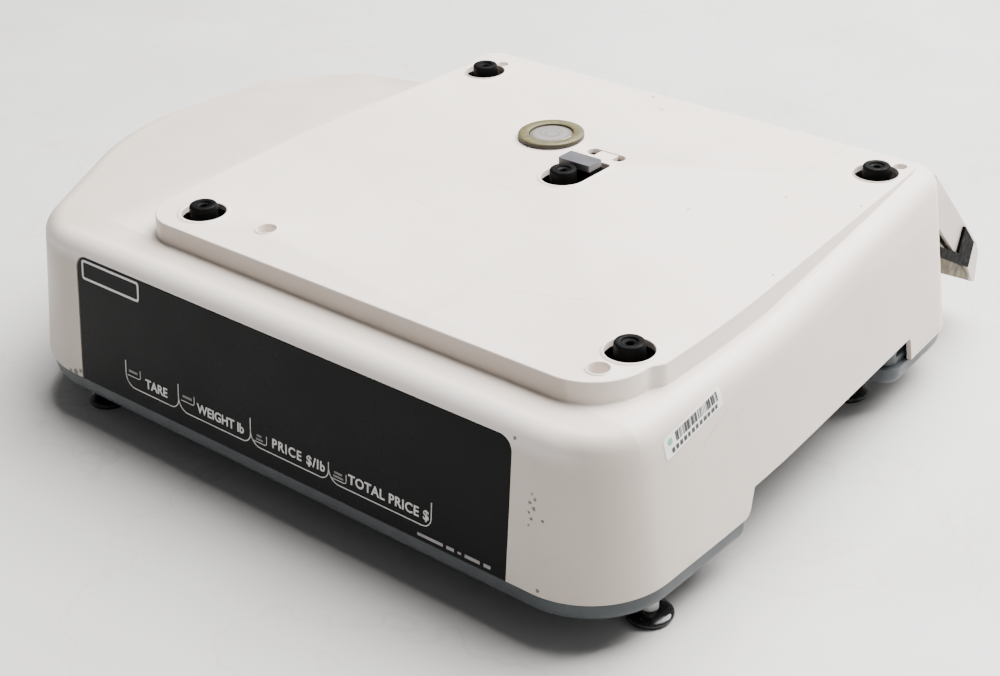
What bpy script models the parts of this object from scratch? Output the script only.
"""Counter-top label-printing deli scale with its platter off: one object per physical piece.

The drawing datum is the centre of the front-left post hole on the deck's top face. All drawing
dimensions are millimetres from that datum: x to the right along the customer's side, y towards the
operator, z up. DATUM places it so that the scale stands on z = 0 with its plan centred on the origin.
"""

import math

import bmesh
import bpy
from mathutils import Matrix, Vector
from mathutils.geometry import delaunay_2d_cdt

# ---------------------------------------------------------------- driving dimensions (mm)
MM = 0.001
DATUM = Vector((-75.0, -157.5, 133.0))
GAP = 0.3
TABLE = -133.0

DRAFT = math.tan(math.radians(6.5))
WALL = 3.0
RIM = -101.5
LEDGE = -12.7
SHOULDER = 11.0
BACK_SHOULDER = 6.0
RIGHT_SHOULDER = 12.5
WING_SHOULDER = 19.0
BODY = [
    ((-104, -61), 70), ((339, -61), 48), ((339, 75), 900), ((317.5, 318), 30),
    ((-58, 318), 30), ((-58, 274), 6), ((-189, 274), 70), ((-189, 79), 160),
]
DECK = [
    ((-29.5, -23.5), 26), ((309, -23.5), 32), ((309, 11), 7), ((313.5, 18), 7), ((313.5, 75), 900),
    ((294.4, 299), 12), ((-33, 299), 26), ((-40.5, 112), 700),
]
PAN_FLOOR = -113.5
PAN_TOP = -97.0
PAN_SHEET = 2.5
PAN_INSET = 4.2
LIP = 1.0 - PAN_INSET
GRIP = (62.0, 232.0, 300.0)

POST_HOLES = {
    "front_left": (0.0, 0.0), "front_right": (292.4, 17.6),
    "back_right": (280.4, 272.2), "back_left": (-15.1, 265.0),
}
POST_HOLE_R = 13.0
CENTRE_POST = (135.7, 160.9)
SLOT_BACK = 190.0
POST_R = 8.0
POST_TOP = 5.8
SCREWS = {
    "front_left": (45.8, 6.1, 5.8), "front_right": (291.0, -5.5, 5.8),
    "back_right": (286.5, 289.5, 3.9), "back_left": (-15.5, 283.2, 3.9),
}
WELL_FLOOR = -16.0
TAB_SLOT = (136.0, 202.0, 27.0, 8.6)
LEVEL = (91.6, 204.0)

SPIDER = (-38.0, -28.0)
HUB = (139.0, 139.0)
CELL = (74.0, 204.0, 30.0)
CELL_Z = (-76.0, -46.0)

WINDOW = (-56.5, 274.6, -22.5, 8.0)
TUBE = (-34.0, 252.0, -86.0, -44.0)

FEET = {
    "front_left": (-68.0, -36.0), "front_right": (322.6, -6.0),
    "back_right": (287.0, 243.0), "back_left": (-165.0, 197.0),
}
PAD_R = 12.9
STEM_R = 4.6

CONSOLE_X = (-24.0, 300.0)
CONSOLE_TOP = ((309.6, -9.2), (372.0, -78.0))
CONSOLE_DEPTH = 19.0

DOOR = (-118.0, -66.0, -91.0, -34.0)
PLATEN = (243.0, -72.0)
MOTOR = (200.0, -88.0)
HEAD_PIVOT = (205.0, -54.0)
ROLL = (150.0, -68.0)
PRINTER_X = (-132.0, -60.0)
GEAR_X = (-58.7, -54.7)
TEETH = {"platen": 24, "idler": 30, "pinion": 12}

MATERIALS = {
    "cover": ((0.74, 0.71, 0.68), 0.45, 0.0),
    "slate": ((0.115, 0.135, 0.155), 0.42, 0.0),
    "window": ((0.014, 0.014, 0.016), 0.22, 0.0),
    "rubber": ((0.013, 0.013, 0.014), 0.7, 0.0),
    "foot": ((0.012, 0.012, 0.013), 0.18, 0.0),
    "zinc": ((0.62, 0.62, 0.6), 0.35, 1.0),
    "brass": ((0.33, 0.29, 0.12), 0.5, 0.35),
    "vial": ((0.62, 0.63, 0.6), 0.12, 0.0),
    "grey": ((0.33, 0.34, 0.37), 0.5, 0.0),
    "passivated": ((0.42, 0.3, 0.09), 0.42, 0.8),
    "aluminium": ((0.72, 0.72, 0.73), 0.4, 1.0),
    "board": ((0.03, 0.16, 0.06), 0.5, 0.0),
    "paper": ((0.86, 0.86, 0.84), 0.7, 0.0),
    "gear": ((0.78, 0.77, 0.7), 0.45, 0.0),
    "steel": ((0.5, 0.5, 0.5), 0.35, 1.0),
    "glass": ((0.05, 0.08, 0.08), 0.08, 0.0),
}


# ---------------------------------------------------------------- plan outlines
def rounded_outline(corners, step=math.radians(15)):
    """Points (x, y, nx, ny) round a counter-clockwise polygon with filleted corners.

    The normal points outwards, so moving a point against it offsets the outline exactly."""
    points = []
    count = len(corners)
    for index, (corner, radius) in enumerate(corners):
        here = Vector(corner)
        arriving = (here - Vector(corners[index - 1][0])).normalized()
        leaving = (Vector(corners[(index + 1) % count][0]) - here).normalized()
        turn = math.atan2(arriving.x * leaving.y - arriving.y * leaving.x, arriving.dot(leaving))
        side = math.copysign(1.0, turn)
        start = here - arriving * radius * math.tan(abs(turn) / 2)
        normal = Vector((arriving.y, -arriving.x))
        centre = start - normal * radius * side
        pieces = max(2, math.ceil(abs(turn) / step))
        for piece in range(pieces + 1):
            angle = turn * piece / pieces
            turned = Matrix.Rotation(angle, 2) @ normal
            place = centre + turned * radius * side
            points.append((place.x, place.y, turned.x, turned.y))
    return points


def offset_ring(outline, inset, height):
    """One loop of the outline moved inwards; the height may be a number or a function of x, y."""
    ring = []
    for x, y, nx, ny in outline:
        px, py = x - nx * inset, y - ny * inset
        ring.append((px, py, height(px, py) if callable(height) else height))
    return ring


def circle(centre, radius, height, segments=20):
    turns = [math.tau * k / segments for k in range(segments)]
    return [(centre[0] + radius * math.cos(t), centre[1] + radius * math.sin(t), height) for t in turns]


def stadium(centre, length, width, height, segments=16):
    """An oblong loop along x."""
    radius, half = width / 2, (length - width) / 2
    loop = []
    for k in range(segments):
        turn = math.tau * (k + 0.5) / segments - math.pi / 2
        shift = half if math.cos(turn) > 0 else -half
        x, y = centre[0] + shift + radius * math.cos(turn), centre[1] + radius * math.sin(turn)
        loop.append((x, y, height))
    return loop


def slot_loop(grow, height):
    """The centre slot: a round end about the centre post and a squarer end at the back."""
    radius = POST_HOLE_R + 0.5
    corners = [
        ((CENTRE_POST[0] - radius, CENTRE_POST[1] - radius), radius),
        ((CENTRE_POST[0] + radius, CENTRE_POST[1] - radius), radius),
        ((CENTRE_POST[0] + radius, SLOT_BACK), 3),
        ((CENTRE_POST[0] - radius, SLOT_BACK), 3),
    ]
    return offset_ring(rounded_outline(corners), -grow, height)


# ---------------------------------------------------------------- mesh building
class Skin:
    """Collects loops, the bands between them and the flat areas they bound, then makes one mesh."""

    def __init__(self):
        self.points = []
        self.faces = []

    def loop(self, points):
        first = len(self.points)
        self.points.extend(Vector(p) for p in points)
        return list(range(first, len(self.points)))

    def band(self, lower, upper):
        count = len(lower)
        for k in range(count):
            after = (k + 1) % count
            self.faces.append((lower[k], lower[after], upper[after], upper[k]))

    def column(self, loops):
        """Bands through a list of point loops; returns the index loops at both ends."""
        made = [self.loop(points) for points in loops]
        for lower, upper in zip(made, made[1:]):
            self.band(lower, upper)
        return made[0], made[-1]

    def area(self, outer, holes=(), extra=()):
        """Triangulates the region in plan between an outer loop and its holes."""
        rings = [outer, *holes]
        used = [index for ring in rings for index in ring] + list(extra)
        flat = [self.points[index].xy for index in used]
        edges = []
        first = 0
        for ring in rings:
            edges += [(first + k, first + (k + 1) % len(ring)) for k in range(len(ring))]
            first += len(ring)
        places, _, triangles, origins, _, _ = delaunay_2d_cdt(flat, edges, [], 0, 1e-7)
        for triangle in triangles:
            middle = sum((places[k] for k in triangle), Vector((0, 0))) / 3
            if not inside(middle, [self.points[k] for k in outer]):
                continue
            if any(inside(middle, [self.points[k] for k in hole]) for hole in holes):
                continue
            self.faces.append(tuple(used[origins[k][0]] for k in triangle))

    def build(self, name, material, turn=None, origin=None):
        """One object at the given drawing origin; turn maps section axes onto drawing axes."""
        points = [turn @ p for p in self.points] if turn else self.points
        return new_object(name, points, self.faces, material, origin)


def inside(point, ring):
    crossings = 0
    for k, start in enumerate(ring):
        end = ring[(k + 1) % len(ring)]
        if (start.y > point.y) != (end.y > point.y):
            crossings += point.x < start.x + (point.y - start.y) * (end.x - start.x) / (end.y - start.y)
    return crossings % 2 == 1


def new_object(name, points, faces, material, origin=None):
    place = (Vector(origin) + DATUM) * MM if origin is not None else Vector((0, 0, 0))
    mesh = bpy.data.meshes.new(name)
    mesh.from_pydata([(p + DATUM) * MM - place for p in points], [], faces)
    shape = bmesh.new()
    shape.from_mesh(mesh)
    bmesh.ops.remove_doubles(shape, verts=shape.verts, dist=1e-7)
    bmesh.ops.recalc_face_normals(shape, faces=shape.faces)
    shape.to_mesh(mesh)
    shape.free()
    mesh.shade_smooth()
    mesh.set_sharp_from_angle(angle=math.radians(32))
    mesh.materials.append(material)
    made = bpy.data.objects.new(name, mesh)
    made.location = place
    bpy.context.scene.collection.objects.link(made)
    return made


ALONG_X = Matrix(((0, 0, 1), (1, 0, 0), (0, 1, 0)))
ALONG_Y = Matrix(((1, 0, 0), (0, 0, 1), (0, 1, 0)))
ALONG_Z = Matrix.Identity(3)


def prism(name, outline, span, material, holes=(), turn=ALONG_Z, origin=None):
    """An outline (u, v) with holes, extruded over span; turn sets which way u, v and the span point."""
    skin = Skin()
    ends = []
    for height in span:
        ends.append([skin.loop([(p[0], p[1], height) for p in ring]) for ring in (outline, *holes)])
    for lower, upper in zip(*ends):
        skin.band(lower, upper)
    for rings in ends:
        skin.area(rings[0], rings[1:])
    return skin.build(name, material, turn, origin)


def rectangle(u0, v0, u1, v1, radius=0.0):
    corners = [((u0, v0), radius), ((u1, v0), radius), ((u1, v1), radius), ((u0, v1), radius)]
    if not radius:
        return [corner for corner, _ in corners]
    return [(x, y) for x, y, _, _ in rounded_outline(corners, math.radians(30))]


def block(name, low, high, material, radius=0.0):
    return prism(name, rectangle(low[0], low[1], high[0], high[1], radius), (low[2], high[2]), material)


def turned(name, profile, centre, material, turn=ALONG_Z, segments=24, origin=None):
    """A turned piece: the profile is (radius, height) from one end of the axis to the other."""
    skin = Skin()
    loops = []
    for radius, height in profile:
        loops.append(skin.loop(circle(centre, max(radius, 0.0), height, segments)) if radius else None)
    for index, (radius, height) in enumerate(profile):
        if radius and index and loops[index - 1]:
            skin.band(loops[index - 1], loops[index])
    for end in (loops[0], loops[-1]):
        skin.area(end)
    return skin.build(name, material, turn, origin)


def tube(name, inner, outer, span, centre, material, turn=ALONG_Z, segments=24, origin=None):
    hole = [p[:2] for p in circle(centre, inner, 0, segments)]
    rim = [p[:2] for p in circle(centre, outer, 0, segments)]
    return prism(name, rim, span, material, [hole], turn, origin)


def boolean(target, cutter, operation="DIFFERENCE"):
    change = target.modifiers.new(cutter.name, "BOOLEAN")
    change.object = cutter
    change.operation = operation
    cutter.hide_render = True
    cutter.display_type = "WIRE"


# ---------------------------------------------------------------- materials
def make_materials():
    made = {}
    for name, (colour, roughness, metallic) in MATERIALS.items():
        material = bpy.data.materials.new(name)
        material.use_nodes = True
        shader = material.node_tree.nodes["Principled BSDF"]
        shader.inputs["Base Color"].default_value = (*colour, 1.0)
        shader.inputs["Roughness"].default_value = roughness
        shader.inputs["Metallic"].default_value = metallic
        made[name] = material
    return made


# ---------------------------------------------------------------- cover and pan
def smoothstep(value, low, high):
    share = min(1.0, max(0.0, (value - low) / (high - low)))
    return share * share * (3 - 2 * share)


def ledge_height(x, y):
    """The ledge round the deck: level, rising behind the deck, domed over the printer wing."""
    wing = smoothstep(-x, 45, 190)
    rise = smoothstep(y, 240, 292) * smoothstep(x, -64, -38)
    corner = smoothstep(-x, 90, 185) * smoothstep(y, 150, 262)
    rear = smoothstep(-x, 42, 75) * smoothstep(y, 190, 255)
    return LEDGE + rise * (-LEDGE - 1.4) - 4.5 * wing * wing - 8.0 * corner - 6.5 * rear


def shoulder_radius(x, nx, ny):
    """The rounding over the wall's top: tight behind the deck, fullest on the printer wing's side."""
    wing = smoothstep(-x, 62, 105)
    along_y = SHOULDER if ny < 0 else BACK_SHOULDER + (SHOULDER - BACK_SHOULDER) * wing
    along_x = RIGHT_SHOULDER if nx > 0 else BACK_SHOULDER + (WING_SHOULDER - BACK_SHOULDER) * wing
    return along_y * ny * ny + along_x * nx * nx


def cover_ring(outline, depth, share):
    """A loop of the cover's skin, depth below its outside, from the rim (0) up the wall and round
    the shoulder to the ledge (1)."""
    tilt = math.atan(DRAFT)
    ring = []
    for x, y, nx, ny in outline:
        radius = shoulder_radius(x, nx, ny)
        top = ledge_height(x - nx * (radius + 9), y - ny * (radius + 9))
        centre_z = top - radius
        start = centre_z + radius * math.sin(tilt)
        wall_inset = (start - RIM) * DRAFT
        if share < 0:
            inset, height = 0.0, RIM
        else:
            angle = tilt + (math.pi / 2 - tilt) * share
            reach = radius - depth
            inset = wall_inset + radius * math.cos(tilt) - reach * math.cos(angle)
            height = centre_z + reach * math.sin(angle)
        if share < 0:
            inset = depth / math.cos(tilt)
        ring.append((x - nx * inset, y - ny * inset, height))
    return ring


def wing_points():
    """Loose points that carry the dome of the wing between the ledge's two loops."""
    outline = [Vector(p[:2]) for p in offset_ring(rounded_outline(BODY), 34, 0.0)]
    deck = [Vector(p[:2]) for p in offset_ring(rounded_outline(DECK), -9, 0.0)]
    found = []
    for column in range(7):
        for row in range(14):
            place = Vector((-178 + column * 24, -40 + row * 24))
            if inside(place, outline) and not inside(place, deck):
                found.append((place.x, place.y))
    return found


def cover_skin(skin, body, deck, depth, shares):
    """One side of the cover's sheet: wall, shoulder, ledge, step. Returns its rim and deck loops."""
    rim, ledge_loop = skin.column([cover_ring(body, depth, share) for share in shares])
    low = skin.loop(offset_ring(deck, depth * 0.7 - 1.2, lambda x, y: ledge_height(x, y) - depth))
    high = skin.loop(offset_ring(deck, depth * 0.7, -depth))
    skin.band(low, high)
    extra = skin.loop([(x, y, ledge_height(x, y) - depth) for x, y in wing_points()])
    skin.area(ledge_loop, [low], extra)
    return rim, high


def post_hole_loops(centre):
    return [
        circle(centre, POST_HOLE_R + 1.2, 0.0), circle(centre, POST_HOLE_R + 0.9, 0.9),
        circle(centre, POST_HOLE_R, 0.9), circle(centre, POST_HOLE_R, -WALL),
    ]


def well_loops(well):
    centre, radius = well[:2], well[2]
    rim = [circle(centre, radius + 1.6, 0.0, 16), circle(centre, radius + 1.2, 0.7, 16),
           circle(centre, radius, 0.7, 16)] if radius > 5 else [circle(centre, radius, 0.0, 16)]
    return rim + [
        circle(centre, radius, WELL_FLOOR, 16), circle(centre, 2.0, WELL_FLOOR, 16),
        circle(centre, 2.0, WELL_FLOOR - 3, 16), circle(centre, radius + 1.0, WELL_FLOOR - 3, 16),
        circle(centre, radius + 1.0, -WALL, 16),
    ]


def slot_loops():
    return [slot_loop(2.4, 0.0), slot_loop(1.9, 0.8), slot_loop(0.0, 0.8), slot_loop(0.0, -WALL)]


def tab_slot_loops():
    x, y, length, width = TAB_SLOT
    return [stadium((x, y), length, width, 0.0), stadium((x, y), length, width, -WALL)]


def make_cover(materials):
    skin = Skin()
    body, deck = rounded_outline(BODY), rounded_outline(DECK)
    outer_rim, outer_deck = cover_skin(skin, body, deck, 0.0, [-1, 0, 0.33, 0.66, 1])
    inner_rim, inner_deck = cover_skin(skin, body, deck, WALL, [-1, 0, 0.5, 1])
    skin.band(outer_rim, inner_rim)
    columns = [post_hole_loops(c) for c in POST_HOLES.values()]
    columns += [well_loops(c) for c in SCREWS.values()]
    columns += [slot_loops(), tab_slot_loops()]
    ends = [skin.column(loops) for loops in columns]
    skin.area(outer_deck, [first for first, _ in ends])
    skin.area(inner_deck, [last for _, last in ends])
    cover = skin.build("top_cover", materials["cover"])
    for cutter in cover_cutters(materials["cover"]):
        boolean(cover, cutter)
    return cover


def front_face(x, height, out=0.0):
    """A point of the drafted front wall, out millimetres proud of it."""
    tilt = math.atan(DRAFT)
    y = -61 + (height - RIM) * DRAFT - out * math.cos(tilt)
    return (x, y, height + out * math.sin(tilt))


def front_plate(name, outline, near, far, material):
    """A plate parallel to the front wall between two distances in front of it."""
    skin = Skin()
    ends = [skin.loop([front_face(x, z, out) for x, z in outline]) for out in (near, far)]
    skin.band(*ends)
    for end in ends:
        skin.faces.append(tuple(end))
    return skin.build(name, material)


def back_wall_y(height, rim_y=274.0):
    return rim_y - (height - RIM) * DRAFT


def window_outline(grow, low):
    left, right, top, radius = WINDOW
    corners = [
        ((left - grow, low), 0.01), ((right + grow, low), 0.01),
        ((right + grow, top + grow), radius), ((left - grow, top + grow), radius),
    ]
    return [(x, z) for x, z, _, _ in rounded_outline(corners)]


def cover_cutters(material):
    left, right, low, high = DOOR
    grip_low, grip_high, _ = GRIP
    return [
        front_plate("window_recess", window_outline(0.3, RIM - 5), -1.2, 8.0, material),
        front_plate("tube_opening", rectangle(TUBE[0], TUBE[2], TUBE[1], TUBE[3]), -9.0, 9.0, material),
        block("grip_cut", (290, grip_low - 6, RIM - 9), (350, grip_high + 20, RIM + 14.7), material, 5.0),
        prism("door_cut", rectangle(left - 0.4, low - 4.0, right + 0.4, high + 0.4), (255, 285), material,
              turn=ALONG_Y),
        prism("inlet_cut", rectangle(139.6, -96.4, 168.4, -71.6), (-200, -175), material, turn=ALONG_X),
        prism("switch_cut", rectangle(175.6, -94.4, 190.4, -73.6), (-200, -175), material, turn=ALONG_X),
        prism("cable_cut", rectangle(60, -60, 100, -40), (290, 320), material, turn=ALONG_Y),
    ]


def pan_corners():
    start, end, depth = GRIP
    edge = PAN_INSET
    return [
        ((-104 + edge, -61 + edge), 67), ((339 - edge, -61 + edge), 45), ((339 - edge, start - 4), 7),
        ((depth, start), 7), ((depth, end), 7), ((323 - edge, end + 5), 7), ((317.5 - edge, 318 - edge), 27),
        ((-58 + edge, 318 - edge), 26), ((-58 + edge, 274 - edge), 8), ((-189 + edge, 274 - edge), 67),
        ((-189 + edge, 79), 157),
    ]


def pan_top(x, y):
    """The pan's wall stands higher across the back of the hand-hold."""
    start, end, depth = GRIP
    return PAN_TOP + 12.5 if depth - 10 < x < depth + 31 and start - 10 < y < end + 10 else PAN_TOP


def pillar_loops(centre, radius, top, bore=0.0, depth=0.0):
    floor = PAN_FLOOR + PAN_SHEET
    loops = [circle(centre, radius, floor, 12), circle(centre, radius, top, 12)]
    if bore:
        loops += [circle(centre, bore, top, 12), circle(centre, bore, top - depth, 12)]
    return loops


def make_pan(materials):
    skin = Skin()
    outline = rounded_outline(pan_corners())
    floor = PAN_FLOOR + PAN_SHEET
    bottom, floor_loop = skin.column([
        offset_ring(outline, LIP + 6.5, PAN_FLOOR), offset_ring(outline, LIP + 1.9, PAN_FLOOR + 1.9),
        offset_ring(outline, LIP, PAN_FLOOR + 6.5), offset_ring(outline, LIP, RIM - GAP),
        offset_ring(outline, 0.0, RIM - GAP), offset_ring(outline, 0.0, pan_top),
        offset_ring(outline, PAN_SHEET, pan_top), offset_ring(outline, PAN_SHEET, PAN_FLOOR + 5.0),
        offset_ring(outline, 4.4, floor),
    ])
    tops = []
    for x, y, _ in SCREWS.values():
        first, last = skin.column(pillar_loops((x, y), 5.0, WELL_FLOOR - 3.5, 1.9, 24.0))
        tops.append(first)
        skin.area(last)
    for centre in ((100, -22), (262, -22), (100, 66), (262, 66)):
        first, last = skin.column(pillar_loops(centre, 4.0, floor + 5.0))
        tops.append(first)
        skin.area(last)
    bores = [skin.column([circle(c, STEM_R + GAP, PAN_FLOOR), circle(c, STEM_R + GAP, floor)])
             for c in FEET.values()]
    skin.area(bottom, [first for first, _ in bores])
    skin.area(floor_loop, tops + [last for _, last in bores])
    pan = skin.build("base_pan", materials["slate"])
    start, end, depth = GRIP
    outline = [
        (depth - 2, start - 6), (333, start - 6), (333, 75), (318.6, end + 6.5), (depth - 2, end + 6.5),
    ]
    roof = prism("grip_roof", outline, (PAN_TOP + 10.6, PAN_TOP + 12.2), materials["slate"])
    boolean(pan, roof, "UNION")


# ---------------------------------------------------------------- deck hardware
def make_posts(materials):
    places = dict(POST_HOLES, centre=CENTRE_POST)
    for name, centre in places.items():
        profile = [
            (POST_R + 0.3, SPIDER[1] + GAP), (POST_R - 0.1, POST_TOP - 1.0), (POST_R - 1.0, POST_TOP),
            (4.4, POST_TOP), (2.6, POST_TOP - 1.4), (2.2, POST_TOP - 1.6), (2.2, POST_TOP - 7.0),
        ]
        turned("platter_post_" + name, profile, centre, materials["rubber"], segments=24)


def make_deck_hardware(materials):
    for name, (x, y, radius) in SCREWS.items():
        reach = radius - 0.8
        head = [
            (1.6, WELL_FLOOR - 14.0), (1.6, WELL_FLOOR + GAP), (reach, WELL_FLOOR + GAP),
            (reach, WELL_FLOOR + 1.8), (reach - 1.0, WELL_FLOOR + 3.0),
        ]
        turned("cover_screw_" + name, head, (x, y), materials["zinc"], segments=16)
    ring_hole = [p[:2] for p in circle(LEVEL, 13.6, 0, 32)]
    ring_rim = [p[:2] for p in circle(LEVEL, 20.6, 0, 32)]
    prism("level_ring", ring_rim, (GAP, 3.4), materials["brass"], [ring_hole])
    turned("level_vial", [(13.3, GAP), (13.3, 2.4), (10.0, 3.1)], LEVEL, materials["vial"], segments=32)
    x, y, length, width = TAB_SLOT
    tab = rectangle(x - 6.5, y - width / 2 + 0.4, x + 6.5, y + width / 2 - 0.4, 1.0)
    prism("calibration_tab", tab, (-9.0, -0.6), materials["cover"], origin=(x, y, -3))
    left = CENTRE_POST[0] - 11.7
    block("stop_block", (left, 171.0, SPIDER[1] + GAP), (left + 23.4, 183.0, 2.0), materials["rubber"], 0.8)
    block("stop_cap", (left, 170.6, 2.3), (left + 23.4, 183.0, 6.4), materials["grey"], 0.8)


# ---------------------------------------------------------------- weighing mechanism
def spider_outline():
    """A four-armed plan: each arm runs from the hub to a round pad under its post."""
    hub = Vector(HUB)
    points = []
    for centre in (POST_HOLES[k] for k in ("front_left", "front_right", "back_right", "back_left")):
        end = Vector(centre)
        along = (end - hub).normalized()
        across = Vector((-along.y, along.x))
        points.append(hub + along * 62 - across * 13)
        for k in range(7):
            turn = math.radians(-90 + 30 * k)
            points.append(end + (along * math.cos(turn) + across * math.sin(turn)) * 8.6)
        points.append(hub + along * 62 + across * 13)
    return [tuple(p) for p in points]


def cell_outline():
    left, right, _ = CELL
    return rectangle(left, CELL_Z[0], right, CELL_Z[1])


def binocular_hole():
    """The cell's cut-out: two round holes joined by a narrow slot, seen along y."""
    middle_x, middle_z = (CELL[0] + CELL[1]) / 2, sum(CELL_Z) / 2
    reach, radius, half = 17.0, 10.0, 3.0
    start = math.asin(half / radius)
    points = []
    for side in (1, -1):
        for k in range(11):
            turn = (math.pi - start) * (1 - k / 5)
            x = middle_x + side * (reach + radius * math.cos(-turn))
            z = middle_z + side * radius * math.sin(-turn)
            points.append((x, z))
    return points


def make_weighing(materials):
    left, right, width = CELL
    middle = HUB[1]
    prism("weighing_spider", spider_outline(), SPIDER, materials["aluminium"])
    prism("load_cell", cell_outline(), (middle - width / 2, middle + width / 2), materials["aluminium"],
          [binocular_hole()], ALONG_Y)
    block("cell_base_block", (left, middle - 17, PAN_FLOOR + PAN_SHEET + GAP),
          (left + 34, middle + 17, CELL_Z[0] - GAP), materials["aluminium"])
    block("cell_spacer", (right - 34, middle - 15, CELL_Z[1] + 0.7),
          (right, middle + 15, SPIDER[0] - GAP), materials["aluminium"])
    stop = [(6.5, PAN_FLOOR + PAN_SHEET + GAP), (6.5, -100.0), (4.0, -100.0), (4.0, CELL_Z[0] - 1.2)]
    turned("overload_stop", stop, (right - 14, middle), materials["zinc"], segments=16)


# ---------------------------------------------------------------- feet
def hexagon(centre, across_flats):
    radius = across_flats / 2 / math.cos(math.radians(30))
    return [p[:2] for p in circle(centre, radius, 0, 6)]


def make_feet(materials):
    floor = PAN_FLOOR + PAN_SHEET
    for name, centre in FEET.items():
        pivot = (*centre, TABLE)
        pad = [(PAD_R - 1.5, TABLE), (PAD_R, TABLE + 1.5), (PAD_R, TABLE + 5.5), (PAD_R - 2.5, TABLE + 8.0),
               (STEM_R + 1.4, TABLE + 9.0)]
        turned("foot_pad_" + name, pad, centre, materials["foot"], segments=28, origin=pivot)
        stem = [(STEM_R, TABLE + 9.0 + GAP), (STEM_R, -84.0), (STEM_R - 0.8, -83.2)]
        turned("foot_stem_" + name, stem, centre, materials["zinc"], segments=20, origin=pivot)
        hole = [p[:2] for p in circle(centre, STEM_R + GAP, 0, 20)]
        prism("foot_locknut_" + name, hexagon(centre, 14.0), (floor + GAP, floor + 6.0), materials["zinc"],
              [hole])


# ---------------------------------------------------------------- customer display and electronics
def make_display(materials):
    front_plate("customer_display_window", window_outline(0.0, RIM), -0.9, -0.05, materials["window"])
    left, right, low, high = TUBE
    block("display_tube", (left + 10, -50.8, low + 3), (right - 10, -43.5, high - 3), materials["glass"])
    block("display_board", (left - 8, -43.2, low - 8), (right + 8, -41.6, high + 6), materials["board"])


def make_electronics(materials):
    floor = PAN_FLOOR + PAN_SHEET
    board = block("main_board", (92, -30, floor + 5 + GAP), (270, 74, floor + 6.9), materials["board"])
    chips = [((130, 0), (158, 28), 3.0), ((180, 10), (200, 40), 2.5), ((105, 50), (160, 64), 10.0),
             ((215, -18), (255, -4), 12.0), ((228, 30), (246, 48), 15.0)]
    for number, (low, high, tall) in enumerate(chips):
        chip = block("chip_%d" % number, (*low, floor + 6.0), (*high, floor + 6.9 + tall), materials["board"])
        boolean(board, chip, "UNION")
    block("power_supply", (-36, 40, floor + GAP), (48, 112, -72.0), materials["steel"], 1.5)
    side_wall_block("power_inlet", (140, 168), (-96, -72), 18.0, materials["rubber"])
    side_wall_block("power_switch", (176, 190), (-93, -75), 15.0, materials["rubber"])
    make_label(materials)


def side_wall_x(height):
    return -189 + (height - RIM) * DRAFT


def side_wall_block(name, span_y, span_z, depth, material, proud=0.5):
    """A block let into the left wall, its face parallel to the wall and a little proud of it."""
    low, high = span_z
    outline = [
        (side_wall_x(low) - proud, low), (side_wall_x(high) - proud, high),
        (side_wall_x(high) + depth, high), (side_wall_x(low) + depth, low),
    ]
    pivot = (side_wall_x((low + high) / 2) + 6, sum(span_y) / 2, (low + high) / 2)
    return prism(name, outline, span_y, material, turn=ALONG_Y, origin=pivot)


def right_wall_point(y, height, out):
    """A point out millimetres proud of the right wall, or of the shoulder over it."""
    tilt = math.atan(DRAFT)
    centre_z = LEDGE - RIGHT_SHOULDER
    start = centre_z + RIGHT_SHOULDER * math.sin(tilt)
    foot = min(height, start)
    angle = max(tilt, math.asin(max(0.0, height - centre_z) / RIGHT_SHOULDER))
    x = 339 - (foot - RIM) * DRAFT - RIGHT_SHOULDER * (math.cos(tilt) - math.cos(angle))
    return (x + out * math.cos(angle), y, height + out * math.sin(angle))


def make_label(materials):
    """The blank asset sticker, a little tilted, its upper edge bent over the shoulder."""
    skin = Skin()
    low_front, low_back = Vector((-5.0, -37.4)), Vector((43.0, -28.6))
    high_front, high_back = Vector((-7.0, -25.2)), Vector((42.0, -18.4))
    columns, rows = 8, 6
    sides = []
    for out in (0.1, 0.35):
        grid = []
        for row in range(rows + 1):
            first = low_front.lerp(high_front, row / rows)
            last = low_back.lerp(high_back, row / rows)
            spots = [first.lerp(last, column / columns) for column in range(columns + 1)]
            grid.append(skin.loop([right_wall_point(spot.x, spot.y, out) for spot in spots]))
        sides.append(grid)
    for grid in sides:
        for lower, upper in zip(grid, grid[1:]):
            for k in range(columns):
                skin.faces.append((lower[k], lower[k + 1], upper[k + 1], upper[k]))
    skin.band(*[label_border(grid) for grid in sides])
    return skin.build("asset_label", materials["paper"])


def label_border(grid):
    """The indices round the edge of a grid of rows."""
    right = [row[-1] for row in grid[1:-1]]
    left = [row[0] for row in grid[-2:0:-1]]
    return grid[0] + right + grid[-1][::-1] + left


# ---------------------------------------------------------------- operator console
def slope_point(along, below):
    """A point (y, z) of the console's sloping top: along from its upper edge, below its surface."""
    start, end = Vector(CONSOLE_TOP[0]), Vector(CONSOLE_TOP[1])
    direction = (end - start).normalized()
    down = Vector((direction.y, -direction.x))
    return tuple(start + direction * along + down * below)


def console_section(shrink):
    """The console shell's section: the sloping top, the nose and the lower edge parallel to the top."""
    length = (Vector(CONSOLE_TOP[1]) - Vector(CONSOLE_TOP[0])).length
    nose = [(376.0, -86.0), (374.5, -107.0), (370.5, -105.5)]
    if shrink:
        lower = [slope_point(length - 10, 60), slope_point(2, 60)]
        return [slope_point(5, WALL), slope_point(length - 3, WALL), (372.5, -87.0), *lower]
    return [slope_point(0, 0), slope_point(length, 0), *nose, slope_point(length - 3, CONSOLE_DEPTH - 4),
            slope_point(length - 18, CONSOLE_DEPTH), slope_point(26, CONSOLE_DEPTH)]


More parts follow.
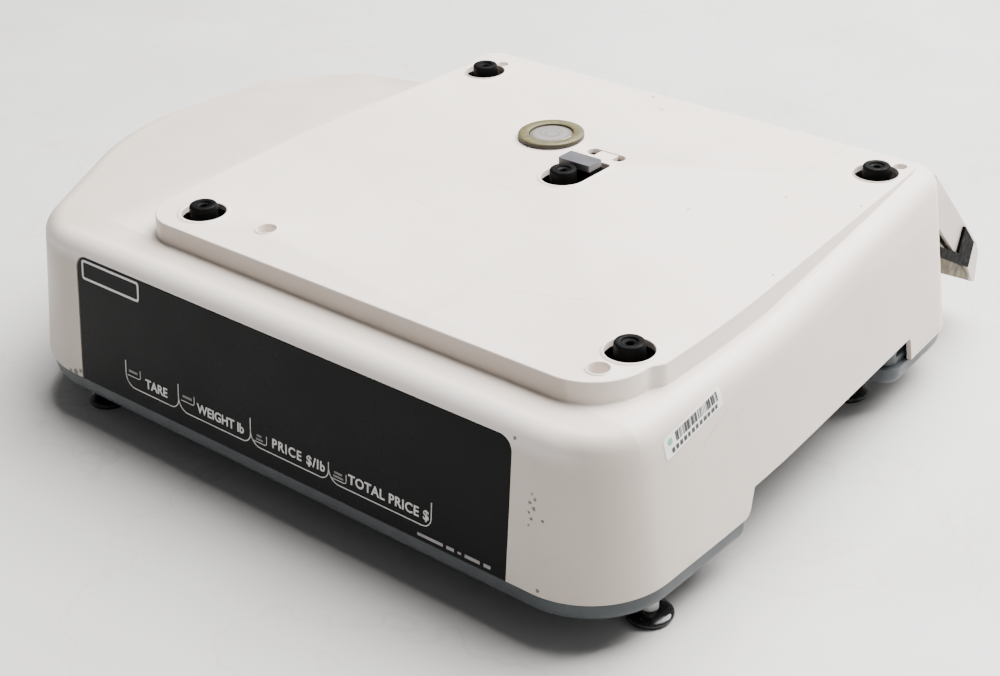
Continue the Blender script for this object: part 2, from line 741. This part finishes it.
def make_console(materials):
    left, right = CONSOLE_X
    shell = prism("console_shell", console_section(False), (left, right), materials["cover"], turn=ALONG_X)
    hollow = prism("console_hollow", console_section(True), (left + WALL, right - WALL), materials["cover"],
                   turn=ALONG_X)
    boolean(shell, hollow)
    bracket = [(315.4, -52.0), (318.2, -77.0), (369.0, -104.6), (358.5, -92.0), (343.0, -77.0)]
    inner = [(319.4, -61.0), (321.6, -75.0), (352.0, -91.5), (341.5, -80.5)]
    prism("console_bracket", bracket, (left + 4, right - 1.6), materials["passivated"], [inner], ALONG_X)
    trim = [(319.5, -60.0), (321.0, -68.0), (359.0, -90.0), (364.0, -74.0), (350.0, -58.0), (344.0, -74.0)]
    prism("console_trim_right", trim, (right + GAP, right + 2.2), materials["rubber"], turn=ALONG_X)
    overlay = [slope_point(34, -0.3), slope_point(34, -1.1), slope_point(90, -1.1), slope_point(90, -0.3)]
    prism("keypad_overlay", overlay, (left + 8, right - 8), materials["window"], turn=ALONG_X)
    glazing = [slope_point(7, -0.3), slope_point(7, -1.3), slope_point(28, -1.3), slope_point(28, -0.3)]
    prism("operator_display_window", glazing, (30, 246), materials["window"], turn=ALONG_X)
    board = [slope_point(16, 6), slope_point(16, 7.6), slope_point(84, 7.6), slope_point(84, 6)]
    prism("keyboard_board", board, (left + 12, right - 12), materials["board"], turn=ALONG_X)


# ---------------------------------------------------------------- label printer
def gear_outline(teeth, centre, phase):
    """Module-one spur gear in plan, with a tooth centred on the phase angle."""
    pitch_angle = math.tau / teeth
    radius = teeth / 2
    flank = [(-0.33, radius - 1.15), (-0.20, radius - 0.1), (-0.10, radius + 0.85),
             (0.10, radius + 0.85), (0.20, radius - 0.1), (0.33, radius - 1.15)]
    points = []
    for tooth in range(teeth):
        for share, reach in flank:
            turn = phase + (tooth + share) * pitch_angle
            points.append((centre[0] + reach * math.cos(turn), centre[1] + reach * math.sin(turn)))
    return points


def idler_centre():
    """Where the idler meshes with both the pinion and the platen gear, on the lower side."""
    start, end = Vector(MOTOR), Vector(PLATEN)
    near = (TEETH["pinion"] + TEETH["idler"]) / 2
    far = (TEETH["platen"] + TEETH["idler"]) / 2
    apart = (end - start).length
    along = (near * near - far * far + apart * apart) / (2 * apart)
    aside = math.sqrt(near * near - along * along)
    direction = (end - start) / apart
    return start + direction * along + Vector((direction.y, -direction.x)) * aside


def gear_phases():
    """Phases that put a tooth of the platen gear and of the pinion in a gap of the idler."""
    idler = idler_centre()
    to_platen = Vector(PLATEN) - idler
    to_motor = Vector(MOTOR) - idler
    platen_angle = math.atan2(to_platen.y, to_platen.x)
    motor_angle = math.atan2(to_motor.y, to_motor.x)
    half_gap = math.pi / TEETH["idler"]
    idler_phase = platen_angle + half_gap
    gap_at_motor = (motor_angle - idler_phase) / (2 * half_gap)
    slip = (gap_at_motor - math.floor(gap_at_motor) - 0.5) * 2 * half_gap
    pinion_phase = motor_angle + math.pi + slip * TEETH["idler"] / TEETH["pinion"]
    return {"platen": platen_angle + math.pi, "idler": idler_phase, "pinion": pinion_phase}


def make_gears(materials):
    phases = gear_phases()
    centres = {"platen": PLATEN, "idler": tuple(idler_centre()), "pinion": MOTOR}
    bores = {"platen": 3.3, "idler": 3.3, "pinion": 1.8}
    names = {"platen": "platen_gear", "idler": "idler_gear", "pinion": "motor_pinion"}
    for key, name in names.items():
        bore = [p[:2] for p in circle(centres[key], bores[key], 0, 16)]
        outline = gear_outline(TEETH[key], centres[key], phases[key])
        prism(name, outline, GEAR_X, materials["gear"], [bore], ALONG_X, (GEAR_X[0], *centres[key]))


def rod(name, centre, radius, span, material, segments=16):
    return turned(name, [(radius, span[0]), (radius, span[1])], centre, material, ALONG_X, segments,
                  (span[0], *centre))


def make_printer(materials):
    left, right = PRINTER_X
    floor = PAN_FLOOR + PAN_SHEET + GAP
    channel = [(left, floor), (right, floor), (right, -50), (right - 2, -50), (right - 2, floor + 2),
               (left + 2, floor + 2), (left + 2, -50), (left, -50)]
    frame = prism("printer_frame", channel, (126, 252), materials["steel"], turn=ALONG_Y)
    for number, (centre, radius) in enumerate(((PLATEN, 3.3), (HEAD_PIVOT, 2.8), (ROLL, 4.3), (MOTOR, 5.0))):
        bore = rod("frame_bore_%d" % number, centre, radius, (left - 9, right + 9), materials["steel"])
        boolean(frame, bore)
    stud = rod("idler_stud", tuple(idler_centre()), 3.0, (right - 1, right + 7.5), materials["steel"])
    boolean(frame, stud, "UNION")
    turned("platen_roller", [(3.0, left - 5), (3.0, left + 10), (7.0, left + 10), (7.0, right - 10),
                                      (3.0, right - 10), (3.0, right + 7)],
                    PLATEN, materials["rubber"], ALONG_X, 24, (left, *PLATEN))
    make_gears(materials)
    turned("printer_motor", [(17.5, right - 24), (17.5, right - 2.3), (4.5, right - 2.3), (4.5, right + 0.4),
                             (1.5, right + 0.4), (1.5, right + 6)],
           MOTOR, materials["steel"], ALONG_X, 24)
    rod("head_pivot_pin", HEAD_PIVOT, 2.5, (left - 3, right + 3), materials["steel"])
    head = [(199.5, -56.0), (202, -59.5), (230, -60.0), (236, -64.4), (250, -64.4), (250, -58.0),
            (238, -54.5), (210, -49.5), (203, -48.5), (199.5, -51.5)]
    prism("print_head", head, (left + 12, right - 12), materials["aluminium"],
          [[p[:2] for p in circle(HEAD_PIVOT, 2.8, 0, 16)]], ALONG_X, (left, *HEAD_PIVOT))
    rod("label_spindle", ROLL, 4.0, (left - 4, right + 4), materials["gear"])
    tube("label_roll", 4.3, 36.0, (left + 14, right - 11), ROLL, materials["paper"], ALONG_X, 40,
         (left, *ROLL))


def door_section():
    """The printer door seen along x: a plate in the wall's slope on a round knuckle at the foot."""
    _, _, low, high = DOOR
    foot = door_axis()
    points = []
    for k in range(9):
        turn = math.radians(145 + 31.25 * k)
        points.append((foot[0] + 3.0 * math.cos(turn), foot[1] + 3.0 * math.sin(turn)))
    points.append((back_wall_y(low + 4), low + 4))
    points.append((back_wall_y(high), high))
    points.append((back_wall_y(high) - 2.5, high))
    points.append((back_wall_y(low + 4) - 2.5, low + 4))
    return points


def door_axis():
    return (back_wall_y(DOOR[2]) - 1.6, DOOR[2])


def make_door(materials):
    left, right, low, high = DOOR
    axis = door_axis()
    pivot = (left, *axis)
    door = prism("printer_door", door_section(), (left, right), materials["cover"],
                 [[p[:2] for p in circle(axis, 1.5, 0, 12)]], ALONG_X, pivot)
    boolean(door, prism("label_exit", rectangle(left + 5, -74.0, right - 5, -69.0), (250, 290),
                        materials["cover"], turn=ALONG_Y))
    middle = (left + right) / 2
    boolean(door, prism("latch_hole", rectangle(middle - 9, high - 9.0, middle + 9, high - 3.0), (250, 290),
                        materials["cover"], turn=ALONG_Y))
    rod("door_hinge_pin", axis, 1.2, (left + 0.2, right - 0.2), materials["steel"], 12)
    face = back_wall_y(high - 6)
    block("door_latch", (middle - 8.6, face - 5.0, high - 8.6), (middle + 8.6, face + 0.6, high - 3.4),
          materials["grey"])


def clear_scene():
    for existing in list(bpy.data.objects):
        bpy.data.objects.remove(existing)


def main():
    clear_scene()
    materials = make_materials()
    make_cover(materials)
    make_pan(materials)
    make_posts(materials)
    make_deck_hardware(materials)
    make_weighing(materials)
    make_feet(materials)
    make_display(materials)
    make_electronics(materials)
    make_console(materials)
    make_printer(materials)
    make_door(materials)


main()
